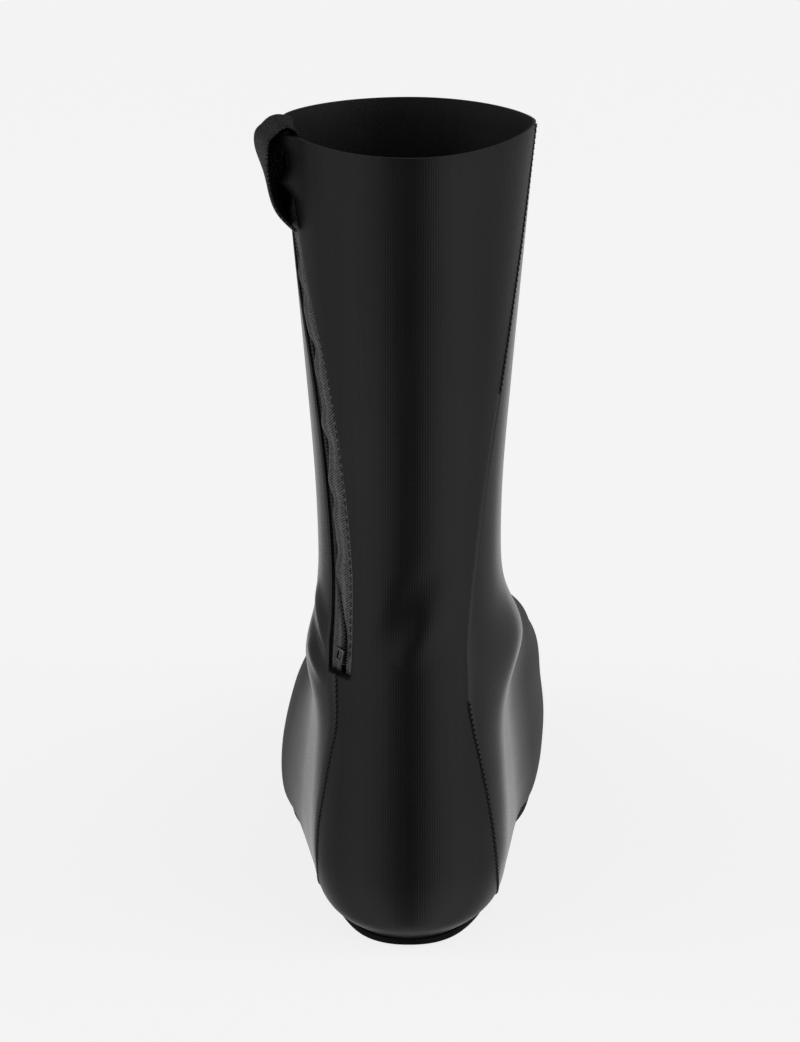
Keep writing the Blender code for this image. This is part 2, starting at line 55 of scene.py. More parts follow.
# Level sections of the upper, from the sole edge to the collar, as in the part's source
Level = namedtuple(
    "Level",
    "name back_y back_z front_y front_z heel lateral medial back_cap front_cap power blunt ridge follow",
)
LEVELS = [
    Level("sole_edge", -128.5, 2.5, 130.0, 2.5, 24.5, 47.0, 44.5, 44.0, 88.0, 2.0, 0.0, 7.0, 1.00),
    Level("welt", -135.0, 9.0, 137.0, 9.5, 31.0, 51.0, 48.0, 44.0, 90.0, 2.1, 0.0, 7.0, 0.95),
    Level("heel_bulge", -139.0, 24.0, 139.0, 21.0, 34.4, 51.5, 48.5, 44.0, 92.0, 2.2, 0.0, 8.0, 0.75),
    Level("toe_top", -138.0, 40.0, 134.5, 37.0, 34.8, 49.0, 46.5, 45.0, 94.0, 2.2, 0.0, 9.0, 0.45),
    Level("vamp_low", -135.5, 54.0, 120.0, 51.5, 34.0, 45.5, 44.5, 45.0, 96.0, 2.2, 0.0, 11.0, 0.25),
    Level("vamp", -132.5, 67.0, 92.0, 64.5, 33.2, 41.2, 42.0, 45.0, 98.0, 2.1, 0.0, 12.5, 0.10),
    Level("vamp_high", -129.5, 79.0, 62.0, 75.5, 32.8, 38.2, 40.5, 45.0, 96.0, 2.1, 0.0, 14.0, 0.0),
    Level("instep_low", -127.0, 89.0, 32.0, 86.5, 32.8, 37.0, 38.5, 45.0, 90.0, 2.0, 0.0, 14.5, 0.0),
    Level("instep", -125.5, 98.0, 6.0, 97.5, 33.0, 35.5, 36.5, 45.0, 80.0, 2.0, 0.0, 13.0, 0.0),
    Level("throat", -124.5, 108.0, -16.0, 108.5, 33.2, 34.5, 34.5, 45.0, 65.0, 2.0, 0.0, 7.0, 0.0),
    Level("ankle", -124.0, 120.0, -31.0, 121.0, 33.0, 33.2, 33.2, 44.0, 52.0, 2.0, 0.0, 3.0, 0.0),
    Level("ankle_top", -124.5, 138.0, -41.0, 139.5, 32.7, 32.7, 32.7, 43.0, 42.0, 2.0, 0.0, 1.0, 0.0),
    Level("shaft_low", -126.0, 165.0, -46.5, 166.0, 33.6, 33.6, 33.6, 44.0, 37.0, 2.0, 1.0, 0.0, 0.0),
    Level("shaft_mid", -128.5, 201.0, -48.5, 202.0, 36.4, 36.4, 36.4, 46.0, 34.0, 1.9, 2.5, 0.0, 0.0),
    Level("shaft_high", -131.0, 246.0, -48.5, 247.5, 40.4, 40.4, 40.4, 49.0, 33.5, 1.7, 5.0, 0.0, 0.0),
    Level("collar", -133.0, 290.5, -48.0, 292.5, 44.5, 44.5, 44.5, 51.5, 33.5, 1.5, 7.0, 0.0, 0.0),
]
ROW_OF = {level.name: row for row, level in enumerate(LEVELS)}
COLLAR = ROW_OF["collar"]

# Edges of the rear panel at each level, as shares of the half width
Edge = namedtuple("Edge", "name hem seam")
EDGES = [
    Edge("sole_edge", 1.0, 1.0),
    Edge("welt", 0.985, 0.985),
    Edge("heel_bulge", 0.8925, 0.915),
    Edge("toe_top", 0.8475, 0.865),
    Edge("vamp_low", 0.7875, 0.8225),
    Edge("vamp", 0.725, 0.765),
    Edge("vamp_high", 0.6475, 0.6975),
    Edge("instep_low", 0.6325, 0.6425),
    Edge("instep", 0.625, 0.625),
    Edge("throat", 0.61, 0.61),
    Edge("ankle", 0.61, 0.6425),
    Edge("ankle_top", 0.6225, 0.71),
    Edge("shaft_low", 0.6725, 0.79),
    Edge("shaft_mid", 0.755, 0.8825),
    Edge("shaft_high", 0.9175, 0.9575),
    Edge("collar", 0.9575, 0.995),
]

Station = namedtuple("Station", "heel ball")
STATIONS = {LATERAL: Station(-112.0, 30.0), MEDIAL: Station(-128.0, 38.0)}
RIDGE_FROM = 0.3
AnkleBone = namedtuple("AnkleBone", "side y z spread_y spread_z swell")
ANKLE_BONES = [
    AnkleBone(LATERAL, -80.0, 96.0, 24.0, 16.0, 4.0),
    AnkleBone(MEDIAL, -74.0, 99.0, 24.0, 17.0, 6.5),
]

# Sole panel
SOLE_THICK, SOLE_LIP = 2.2, 0.6
SOLE_ROWS, SOLE_COLUMNS = 120, 16
HEEL_BEVEL_FROM, HEEL_BEVEL_RISE = -116.0, 2.5
ARCH_FROM, ARCH_TO, ARCH_RISE = -80.0, 12.0, 5.0
SPRING_FROM, SPRING_RISE = 60.0, 15.0
Window = namedtuple("Window", "name y x half_length half_width")
WINDOWS = [
    Window("heel_window", -99.0, 0.0, 15.0, 13.0),
    Window("cleat_window", 38.0, 2.0, 38.0, 29.0),
]
WINDOW_POWER, WINDOW_SIDES, CUTTER_REACH = 2.6, 84, 30.0

# Zip: places across it are measured ahead of the hem, and depths inwards from the upper's outer face
ZIP_END = ROW_OF["instep"]
SLIDER_LEVEL = COLLAR - 0.26
SLOT_WIDTH = 13.4
LOW_SEAM = 8.0
COIL_MIDDLE = 11.1
COIL_DRIFT, DRIFT_LOW, DRIFT_HIGH = -5.5, 9.2, 11.2
TAPE_LOW, TAPE_HIGH = ZIP_END - 0.5, COLLAR - 0.05
TAPE_DEPTH, TAPE_THICK = 1.7, 0.6
REAR_TAPE_FROM, REAR_TAPE_TO = -5.0, 9.6
FRONT_TAPE_FROM, FRONT_TAPE_TO = 12.7, 19.5
COIL_LOW, COIL_HIGH = ZIP_END + 0.2, SLIDER_LEVEL + 0.015
TAPE_STITCH = 2.3
TOOTH_PITCH, TOOTH_HALF, TOOTH_RADIUS = 1.45, 1.2, 0.33
TOOTH_LOW, TOOTH_HIGH = 2.1, 1.0

# Pull loop: webbing over the rim, fuller at its foot than the solid, with its front edge laid to the upper
LoopRow = namedtuple("LoopRow", "name up out lean flat turn")
LOOP_PATH = [
    LoopRow("inner_end", -6.2, -3.3, 0.0, 0.0, 0.0),
    LoopRow("inner", -3.2, -3.3, 0.0, 0.0, 0.0),
    LoopRow("inner_top", 0.0, -3.0, 0.0, 0.0, 0.0),
    LoopRow("crest", 2.6, 0.2, 0.0, 0.15, -0.30),
    LoopRow("outer_top", 1.6, 4.2, 0.0, 0.55, -0.30),
    LoopRow("shoulder", -3.5, 7.8, 0.0, 1.0, -0.28),
    LoopRow("belly", -10.5, 8.7, 0.5, 1.0, -0.26),
    LoopRow("fall", -20.0, 7.0, 1.5, 0.9, -0.08),
    LoopRow("outer_toe", -29.0, 4.8, 2.5, 0.5, 0.10),
    LoopRow("outer_end", -35.0, 0.8, 3.0, 0.0, 0.10),
]
LOOP_THICK, LOOP_REAR, LOOP_FRONT = 1.3, -4.0, 20.0
TUCK_FROM, TUCK_OUT = 11.0, 0.45
CREST_DROP = 0.6
SELVEDGE_THIN, SELVEDGE_POWER = 0.55, 14

# Studio: brightness of the surround behind the camera, on both sides, further round, and beyond the shoe
# low down and higher up, with the shares that its ceiling and its left side have
WALL_DARK, WALL_LIGHT, WALL_DIM, WALL_FAR, FAR_HIGH = 0.04, 0.85, 0.32, 0.85, 0.22
CEILING_SHARE, LEFT_SHARE = 0.3, 0.85
FLOOR_GREY, FLOOR_GLOW, FLOOR_RADIUS = 0.3, 0.82, 9.0
SoftBox = namedtuple("SoftBox", "name spot size radiance")
SOFT_BOXES = [
    SoftBox("left_box", (-1.6, 0.1, 1.3), 1.2, 0.5),
    SoftBox("right_box", (1.6, 0.1, 1.3), 1.2, 0.5),
]
SOFT_BOX_AIM = (0.0, 0.0, 0.12)

# Camera: the picture's height and the focal length in its pixels, then the sensor, place and tilt
PICTURE_HIGH, FOCAL_LENGTH, SENSOR = 1042.0, 4790.0, 36.0
CAMERA_SPOT, CAMERA_TILT = (-0.0032, -1.7119, 0.6747), 72.0

# Density of the dressed upper
ROWS_PER_LEVEL = 9
REAR_COLUMNS, FRONT_COLUMNS = 26, 92
SEAM_LIP = (1.4, 0.6)

# Depths of the seam grooves and of the rolled edges, and how much thinner the wall is there
SEAM_GROOVE, LOW_GROOVE, GROOVE_SIDE = 0.45, 0.4, 0.08
SLOT_ROLL, SLOT_THIN, RIM_ROLL, RIM_THIN = 0.35, 0.45, 0.3, 0.6
ARC_SAMPLES = 721
TINY = 0.0001


def smoothstep(low, high, value):
    share = np.clip((value - low) / (high - low), 0.0, 1.0)
    return share * share * (3.0 - 2.0 * share)


def curve_at(rows, v):
    """Values at row number v, read along a smooth curve through the rows."""
    last = len(rows) - 1
    row = min(max(int(math.floor(v)), 0), last - 1)
    before, start, end, after = [np.array(rows[min(max(row + k, 0), last)]) for k in (-1, 0, 1, 2)]
    leave, arrive = (end - before) / 2, (after - start) / 2
    share = v - row
    a = 2 * start - 2 * end + leave + arrive
    b = -3 * start + 3 * end - 2 * leave - arrive
    return ((a * share + b) * share + leave) * share + start


def level_at(v):
    return Level("between", *curve_at([level[1:] for level in LEVELS], v))


def sole_rise(y):
    """Height of the sole line over its flat spots: bevel at the heel, arch, and toe spring."""
    bevel = HEEL_BEVEL_RISE * np.clip((HEEL_BEVEL_FROM - y) / (LENGTH / 2 + HEEL_BEVEL_FROM), 0, 1) ** 2
    arch = ARCH_RISE * np.sin(math.pi * np.clip((y - ARCH_FROM) / (ARCH_TO - ARCH_FROM), 0, 1)) ** 2
    spring = SPRING_RISE * np.clip((y - SPRING_FROM) / (LENGTH / 2 - SPRING_FROM), 0, 1) ** 2
    return bevel + arch + spring


def cap(distance, length, power):
    """Share of the full width at a distance from a loop's end."""
    left = 1.0 - np.clip(distance / length, 0.0, 1.0)
    return np.sqrt(np.maximum(1.0 - left**power, 0.0))


def upper_point(v, side, angle):
    """Points of the outer face on level v. Angle 0 is the heel line and pi is the toe and instep line."""
    level = level_at(v)
    along = (1.0 - np.cos(angle)) / 2
    y = level.back_y + (level.front_y - level.back_y) * along
    z = level.back_z + (level.front_z - level.back_z) * along + level.follow * sole_rise(y)
    ball = level.lateral if side == LATERAL else level.medial
    half = level.heel + (ball - level.heel) * smoothstep(STATIONS[side].heel, STATIONS[side].ball, y)
    for bone in ANKLE_BONES:
        if bone.side == side:
            far = ((y - bone.y) / bone.spread_y) ** 2 + ((z - bone.z) / bone.spread_z) ** 2
            half = half + bone.swell * np.exp(-far)
    blunt = level.blunt if side == LATERAL else 0.0
    half = half * cap(y - level.back_y, level.back_cap - blunt, level.power)
    half = half * cap(level.front_y - y, level.front_cap - blunt, level.power)
    x = level.ridge * smoothstep(RIDGE_FROM, 1.0, along) + side * half
    return np.stack([x, y, z], axis=-1)


@lru_cache(maxsize=None)
def arc(v, side):
    """Angles round one side of a level, with the distance of each from the heel line."""
    angles = np.linspace(0.0, math.pi, ARC_SAMPLES)
    steps = np.linalg.norm(np.diff(upper_point(v, side, angles), axis=0), axis=1)
    return angles, np.concatenate([[0.0], np.cumsum(steps)])


def around(v, side, distance):
    """Points at given distances from the heel line, measured along the level."""
    angles, reach = arc(v, side)
    return upper_point(v, side, np.interp(distance, reach, angles))


@lru_cache(maxsize=None)
def edge_distance(v, side):
    """Distance of the rear panel's edge from the heel line on level v."""
    level = level_at(v)
    hem, seam = curve_at([edge[1:] for edge in EDGES], v)
    share = min(hem if side == LATERAL else seam, 1.0)
    length = level.back_cap - (level.blunt if side == LATERAL else 0.0)
    inset = length * (1.0 - (1.0 - share**2) ** (1.0 / level.power))
    angle = math.acos(1.0 - 2.0 * inset / (level.front_y - level.back_y))
    angles, reach = arc(v, side)
    return float(np.interp(angle, angles, reach))


def patch(side, levels, ahead):
    """Points and outward normals at distances ahead of the rear panel's edge. Ahead is a row or a grid."""
    levels = np.asarray(levels, dtype=float)
    ahead = np.broadcast_to(ahead, (len(levels), np.shape(ahead)[-1]))

    def points(shift_v, shift_d):
        rows = []
        for v, row in zip(levels, ahead):
            at = float(np.clip(v + shift_v, 0.0, COLLAR))
            rows.append(around(at, side, edge_distance(at, side) + row + shift_d))
        return np.array(rows)

    upward = points(0.02, 0.0) - points(-0.02, 0.0)
    forward = points(0.0, 0.3) - points(0.0, -0.3)
    normals = np.cross(upward, forward) if side == LATERAL else np.cross(forward, upward)
    return points(0.0, 0.0), normals / np.linalg.norm(normals, axis=2, keepdims=True)


def drift_at(v):
    """How far the coil lies from its middle line at level v."""
    return COIL_DRIFT * (1.0 - smoothstep(DRIFT_LOW, DRIFT_HIGH, v))


# Creases of the upper: soft troughs (below zero) and ridges, by points on or near its face
Crease = namedtuple("Crease", "rise spread points")
CREASES = [
    Crease(1.5, 4.0,
           ((-34.0, -86.0, 124.0), (-32.4, -91.1, 118.2), (-31.1, -97.3, 113.1), (-29.0, -103.9, 103.8))),
    Crease(-0.9, 3.2, ((-34.5, -84.0, 112.0), (-32.5, -95.0, 105.0), (-29.5, -102.0, 98.5))),
    Crease(1.3, 4.0,
           ((-36.0, -86.0, 102.0), (-34.9, -91.9, 99.8), (-32.7, -97.9, 96.0), (-29.7, -103.8, 92.4))),
    Crease(-1.0, 7.0,
           ((12.0, -122.0, 144.0), (4.6, -123.9, 133.7), (-2.9, -123.8, 122.3), (-11.8, -121.5, 108.6))),
    Crease(0.7, 7.0, ((-4.0, -124.5, 136.0), (-11.0, -122.5, 124.0), (-17.0, -119.0, 112.0))),
    Crease(0.9, 6.0, ((11.0, -123.0, 128.0), (5.0, -124.5, 116.0), (-4.0, -125.0, 104.0))),
]


def crease_relief(points):
    """How far the creases lift each point of the upper."""
    relief = np.zeros(points.shape[:-1])
    for crease in CREASES:
        line = np.array(crease.points, dtype=float)
        lengths = np.concatenate([[0.0], np.cumsum(np.linalg.norm(np.diff(line, axis=0), axis=1))])
        best = np.full(points.shape[:-1], 1e9)
        place = np.zeros(points.shape[:-1])
        for k in range(len(line) - 1):
            run = line[k + 1] - line[k]
            share = np.clip(((points - line[k]) @ run) / (run @ run), 0.0, 1.0)
            far = np.linalg.norm(points - (line[k] + share[..., None] * run), axis=-1)
            closer = far < best
            best = np.where(closer, far, best)
            place = np.where(closer, lengths[k] + share * (lengths[k + 1] - lengths[k]), place)
        taper = np.sin(math.pi * np.clip(place / lengths[-1], 0.02, 0.98)) ** 0.7
        relief += crease.rise * np.exp(-((best / crease.spread) ** 2)) * taper
    return relief


# Waves of the rear panel's hem under the pull loop: height, swell, and spread up the hem
HemWave = namedtuple("HemWave", "z swell spread")
HEM_WAVES = [HemWave(290.6, 3.2, 6.0), HemWave(274.4, 4.2, 4.2), HemWave(268.0, -0.5, 3.5)]
HEM_REACH = 13.0


def hem_relief(points, behind):
    """How far the waves lift the rear panel, by its distance behind the hem."""
    relief = np.zeros(points.shape[:-1])
    for wave in HEM_WAVES:
        relief += wave.swell * np.exp(-(((points[..., 2] - wave.z) / wave.spread) ** 2))
    return relief * (1.0 - smoothstep(0.0, HEM_REACH, behind)) ** 1.5


def normals_of(grid):
    """Outward unit normals of a closed grid of loops."""
    forward = np.roll(grid, -1, axis=1) - np.roll(grid, 1, axis=1)
    upward = np.gradient(grid, axis=0)
    normals = np.cross(upward, forward)
    return normals / np.linalg.norm(normals, axis=2, keepdims=True)


def finish_mesh(name, data, materials, sharp=35.0):
    """Make a smooth object from a bmesh in millimetres."""
    bmesh.ops.recalc_face_normals(data, faces=data.faces[:])
    bmesh.ops.scale(data, vec=(MM, MM, MM), verts=data.verts[:])
    mesh = bpy.data.meshes.new(name)
    data.to_mesh(mesh)
    data.free()
    mesh.shade_smooth()
    mesh.set_sharp_from_angle(angle=math.radians(sharp))
    for material in materials:
        mesh.materials.append(material)
    piece = bpy.data.objects.new(name, mesh)
    bpy.context.scene.collection.objects.link(piece)
    return piece


def solid_between(name, outer, inner, present, closed, uv, tags, inner_tag, materials):
    """Solid between two grids. Missing cells leave a hole, and closed grids join their ends."""
    rows, columns = outer.shape[:2]
    data = bmesh.new()
    layer = data.loops.layers.uv.new("cloth")
    verts = [[[data.verts.new(point) for point in row] for row in grid] for grid in (outer, inner)]

    def add(corners, grids, tag):
        face = data.faces.new([verts[g][i][j % columns] for g, (i, j) in zip(grids, corners)])
        face.material_index = int(tag)
        for loop, (i, j) in zip(face.loops, corners):
            loop[layer].uv = uv[i, j]

    def is_cell(i, j):
        if closed:
            j %= columns
        return 0 <= i < present.shape[0] and 0 <= j < present.shape[1] and present[i, j]

    for i in range(present.shape[0]):
        for j in range(present.shape[1]):
            if not present[i, j]:
                continue
            corners = [(i, j), (i, j + 1), (i + 1, j + 1), (i + 1, j)]
            beyond = [(i - 1, j), (i, j + 1), (i + 1, j), (i, j - 1)]
            add(corners, (0, 0, 0, 0), tags[i, j])
            add(corners[::-1], (1, 1, 1, 1), inner_tag)
            for side in range(4):
                if not is_cell(*beyond[side]):
                    first, second = corners[side], corners[(side + 1) % 4]
                    add([second, first, first, second], (0, 0, 1, 1), tags[i, j])
    loose = [vert for vert in data.verts if not vert.link_faces]
    bmesh.ops.delete(data, geom=loose, context="VERTS")
    return finish_mesh(name, data, materials)


def tube(data, path, radius, sides=6, closed_ends=True):
    """Add a round thread along a path to a bmesh."""
    path = np.array(path, dtype=float)
    runs = np.gradient(path, axis=0)
    runs /= np.linalg.norm(runs, axis=1, keepdims=True)
    side = np.cross(runs[0], [0.0, 0.0, 1.0] if abs(runs[0][2]) < 0.9 else [1.0, 0.0, 0.0])
    layer = data.loops.layers.uv.verify()
    rings, length = [], 0.0
    lengths = []
    for k, (point, run) in enumerate(zip(path, runs)):
        side = side - run * np.dot(side, run)
        side /= np.linalg.norm(side)
        third = np.cross(run, side)
        turns = [2 * math.pi * n / sides for n in range(sides)]
        size = radius * (0.55 if closed_ends and k in (0, len(path) - 1) else 1.0)
        ring = [point + size * (math.cos(t) * side + math.sin(t) * third) for t in turns]
        rings.append([data.verts.new(spot) for spot in ring])
        length += 0.0 if k == 0 else float(np.linalg.norm(path[k] - path[k - 1]))
        lengths.append(length * MM)
    for k, (near, far) in enumerate(zip(rings, rings[1:])):
        for n in range(sides):
            after = (n + 1) % sides
            face = data.faces.new([near[n], near[after], far[after], far[n]])
            spots = [(n, k), (n + 1, k), (n + 1, k + 1), (n, k + 1)]
            for loop, (a, b) in zip(face.loops, spots):
                loop[layer].uv = (a / sides, lengths[b])
    data.faces.new(rings[0][::-1])
    data.faces.new(rings[-1])


# Materials


class Nodes:
    """Short helpers round one material's nodes."""

    def __init__(self, name):
        self.material = bpy.data.materials.new(name)
        self.material.use_nodes = True
        self.tree = self.material.node_tree
        self.shader = self.tree.nodes["Principled BSDF"]

    def set(self, **values):
        for key, value in values.items():
            self.shader.inputs[key.replace("_", " ")].default_value = value

    def add(self, kind, inputs=(), **settings):
        node = self.tree.nodes.new(kind)
        for key, value in settings.items():
            setattr(node, key, value)
        for key, value in dict(inputs).items():
            if hasattr(value, "node"):
                self.tree.links.new(value, node.inputs[key])
            else:
                node.inputs[key].default_value = value
        return node

    def link(self, socket, name):
        self.tree.links.new(socket, self.shader.inputs[name])

    def place(self, scale=(1.0, 1.0, 1.0), turn=0.0, cloth=False):
        """Object coordinates, or the cloth's own map, in metres."""
        source = self.add("ShaderNodeUVMap", uv_map="cloth") if cloth else self.add("ShaderNodeTexCoord")
        socket = source.outputs["UV"] if cloth else source.outputs["Object"]
        inputs = {"Vector": socket, "Scale": scale, "Rotation": (0.0, 0.0, turn)}
        return self.add("ShaderNodeMapping", inputs).outputs["Vector"]

    def noise(self, vector, scale, detail=3.0, roughness=0.55):
        inputs = {"Vector": vector, "Scale": scale, "Detail": detail, "Roughness": roughness}
        return self.add("ShaderNodeTexNoise", inputs).outputs["Fac"]

    def waves(self, vector, pitch, direction="X", distortion=0.0):
        inputs = {"Vector": vector, "Scale": 0.31416 / pitch, "Distortion": distortion}
        return self.add("ShaderNodeTexWave", inputs, bands_direction=direction).outputs["Fac"]

    def math(self, operation, a, b=0.0):
        return self.add("ShaderNodeMath", {0: a, 1: b}, operation=operation).outputs[0]

    def ramp(self, value, low, high, start=0.0, end=1.0):
        """Map a value from one range to another."""
        inputs = {"Value": value, "From Min": start, "From Max": end, "To Min": low, "To Max": high}
        return self.add("ShaderNodeMapRange", inputs).outputs["Result"]

    def shade(self, value, dark, light, start=0.0, end=1.0):
        """Base colour between two tones."""
        inputs = {"Factor": self.ramp(value, 0.0, 1.0, start, end), "A": (*dark, 1.0), "B": (*light, 1.0)}
        mix = self.tree.nodes.new("ShaderNodeMix")
        mix.data_type = "RGBA"
        sockets = {"Factor": mix.inputs[0], "A": mix.inputs[6], "B": mix.inputs[7]}
        for key, given in inputs.items():
            if hasattr(given, "node"):
                self.tree.links.new(given, sockets[key])
            else:
                sockets[key].default_value = given
        self.link(mix.outputs[2], "Base Color")

    def bump(self, height, distance, strength=1.0):
        inputs = {"Height": height, "Distance": distance, "Strength": strength}
        self.link(self.add("ShaderNodeBump", inputs).outputs["Normal"], "Normal")


def make_rear_fabric():
    """Matte stretch knit with fine upright ribs."""
    nodes = Nodes("rear_fabric")
    cloth = nodes.place(cloth=True)
    ribs = nodes.waves(cloth, 0.0009)
    rows = nodes.waves(cloth, 0.0007, "Y")
    fuzz = nodes.noise(nodes.place(), 1600.0)
    slow = nodes.noise(nodes.place(), 22.0, 4.0)
    streak = nodes.noise(nodes.place((420.0, 9.0, 1.0), cloth=True), 1.0, 2.0)
    nodes.shade(nodes.math("ADD", nodes.math("MULTIPLY", slow, 0.5), nodes.math("MULTIPLY", streak, 0.5)),
                (0.0032, 0.0032, 0.0033), (0.0075, 0.0073, 0.0073), 0.3, 0.7)
    nodes.link(nodes.ramp(fuzz, 0.36, 0.46), "Roughness")
    nodes.set(Specular_IOR_Level=0.30)
    height = nodes.math("ADD", nodes.math("MULTIPLY", ribs, 0.6), nodes.math("MULTIPLY", rows, 0.2))
    nodes.bump(nodes.math("ADD", height, nodes.math("MULTIPLY", fuzz, 0.4)), 0.00004)
    return nodes.material


def make_front_fabric():
    """Satin coated stretch laminate with a fine grain, duller over the forefoot."""
    nodes = Nodes("front_fabric")
    spot = nodes.place()
    grain = nodes.noise(spot, 1500.0, 3.0)
    slow = nodes.noise(spot, 16.0, 3.0)
    nodes.shade(slow, (0.0065, 0.0065, 0.0062), (0.0115, 0.0115, 0.0108), 0.3, 0.7)
    blend = nodes.math("ADD", nodes.math("MULTIPLY", grain, 0.6), nodes.math("MULTIPLY", slow, 0.4))
    along = nodes.add("ShaderNodeSeparateXYZ", {"Vector": spot}).outputs["Y"]
    matte = nodes.ramp(along, 0.0, 0.34, -0.065, -0.005)
    nodes.link(nodes.math("ADD", nodes.ramp(blend, 0.21, 0.31, 0.3, 0.7), matte), "Roughness")
    nodes.set(Specular_IOR_Level=0.42)
    nodes.bump(grain, 0.00003)
    return nodes.material


def make_lining():
    """Brushed jersey inside."""
    nodes = Nodes("lining")
    spot = nodes.place()
    nap = nodes.noise(spot, 1100.0, 4.0, 0.7)
    slow = nodes.noise(spot, 30.0)
    nodes.shade(slow, (0.011, 0.011, 0.0112), (0.025, 0.025, 0.0252), 0.3, 0.7)
    nodes.link(nodes.ramp(nap, 0.5, 0.7), "Roughness")
    nodes.set(Specular_IOR_Level=0.4)
    nodes.bump(nap, 0.0001)
    return nodes.material


def make_sole_rubber():
    """Rubber-faced fabric with a pebble grain and light scuffs."""
    nodes = Nodes("sole_rubber")
    spot = nodes.place()
    pebble = nodes.add("ShaderNodeTexVoronoi", {"Vector": spot, "Scale": 900.0}).outputs["Distance"]
    scuff = nodes.noise(spot, 60.0, 6.0, 0.7)
    nodes.shade(scuff, (0.0016, 0.0016, 0.0016), (0.0055, 0.0055, 0.0053), 0.35, 0.75)
    nodes.link(nodes.ramp(scuff, 0.6, 0.85, 0.3, 0.7), "Roughness")
    nodes.set(Specular_IOR_Level=0.12)
    nodes.bump(pebble, 0.00015, 0.6)
    return nodes.material


def make_tape_cloth():
    """Woven zip tape with a fine herringbone."""
    nodes = Nodes("zip_tape_cloth")
    cloth = nodes.place(cloth=True)
    right = nodes.waves(nodes.place(turn=0.9, cloth=True), 0.0008)
    left = nodes.waves(nodes.place(turn=-0.9, cloth=True), 0.0008)
    stripe = nodes.waves(cloth, 0.0036)
    weave = nodes.math("MAXIMUM", nodes.math("MULTIPLY", right, stripe), nodes.math("MULTIPLY", left, 0.7))
    fleck = nodes.noise(cloth, 900.0, 4.0, 0.7)
    nodes.shade(nodes.math("ADD", nodes.math("MULTIPLY", weave, 0.4), nodes.math("MULTIPLY", fleck, 0.6)),
                (0.016, 0.016, 0.0165), (0.185, 0.184, 0.185), 0.38, 0.68)
    nodes.link(nodes.ramp(fleck, 0.55, 0.8), "Roughness")
    nodes.set(Specular_IOR_Level=0.45)
    nodes.bump(nodes.math("ADD", weave, fleck), 0.00014)
    return nodes.material


def make_nylon():
    """Moulded nylon of the coil."""
    nodes = Nodes("nylon")
    spot = nodes.place()
    grain = nodes.noise(spot, 700.0)
    nodes.shade(grain, (0.008, 0.008, 0.008), (0.018, 0.018, 0.018), 0.3, 0.7)
    nodes.link(nodes.ramp(grain, 0.28, 0.45), "Roughness")
    nodes.bump(grain, 0.00003)
    return nodes.material


def make_metal(name, dark, light, rough):
    """Cast metal with brushed wear."""
    nodes = Nodes(name)
    spot = nodes.place((1.0, 1.0, 0.2))
    brush = nodes.noise(spot, 1200.0, 4.0)
    wear = nodes.noise(nodes.place(), 260.0, 3.0)
    nodes.shade(wear, dark, light, 0.35, 0.7)
    nodes.link(nodes.ramp(brush, rough - 0.08, rough + 0.12), "Roughness")
    nodes.set(Metallic=1.0)
    nodes.bump(brush, 0.00002)
    return nodes.material


def make_webbing():
    """Woven webbing of the pull loop."""
    nodes = Nodes("webbing")
    cloth = nodes.place(cloth=True)
    right = nodes.waves(nodes.place(turn=0.6, cloth=True), 0.0009)
    weft = nodes.waves(cloth, 0.0008, "Y", 1.5)
    fleck = nodes.noise(cloth, 1500.0, 5.0, 0.75)
    weave = nodes.math("ADD", nodes.math("MULTIPLY", right, 0.5), nodes.math("MULTIPLY", weft, 0.5))
    nodes.shade(nodes.math("ADD", nodes.math("MULTIPLY", weave, 0.2), nodes.math("MULTIPLY", fleck, 0.8)),
                (0.003, 0.003, 0.003), (0.13, 0.13, 0.129), 0.47, 0.66)
    nodes.link(nodes.ramp(fleck, 0.65, 0.9), "Roughness")
    nodes.set(Specular_IOR_Level=0.4)
    nodes.bump(nodes.math("ADD", weave, fleck), 0.0003)
    return nodes.material


def make_thread(name, dark, light):
    """Twisted sewing thread."""
    nodes = Nodes(name)
    layer = nodes.add("ShaderNodeUVMap", uv_map="cloth").outputs["UV"]
    twist = nodes.add("ShaderNodeMapping", {"Vector": layer, "Scale": (0.0004, 1.0, 1.0)}).outputs["Vector"]
    ply = nodes.waves(twist, 0.0005, "DIAGONAL")
    fuzz = nodes.noise(nodes.place(), 3000.0)
    nodes.shade(nodes.math("MULTIPLY", ply, fuzz), dark, light, 0.1, 0.6)
    nodes.link(nodes.ramp(fuzz, 0.5, 0.8), "Roughness")
    nodes.bump(ply, 0.00006)
    return nodes.material


REAR_FABRIC, FRONT_FABRIC, LINING = make_rear_fabric(), make_front_fabric(), make_lining()
SOLE_RUBBER, TAPE_CLOTH, NYLON = make_sole_rubber(), make_tape_cloth(), make_nylon()
DARK_METAL = make_metal("dark_metal", (0.035, 0.035, 0.037), (0.085, 0.085, 0.088), 0.35)
PALE_METAL = make_metal("pale_metal", (0.07, 0.07, 0.07), (0.20, 0.20, 0.195), 0.34)
WEBBING = make_webbing()
SEAM_THREAD = make_thread("seam_thread", (0.003, 0.003, 0.003), (0.012, 0.012, 0.012))
TAPE_THREAD = make_thread("tape_thread", (0.02, 0.02, 0.02), (0.11, 0.11, 0.11))


# Pieces


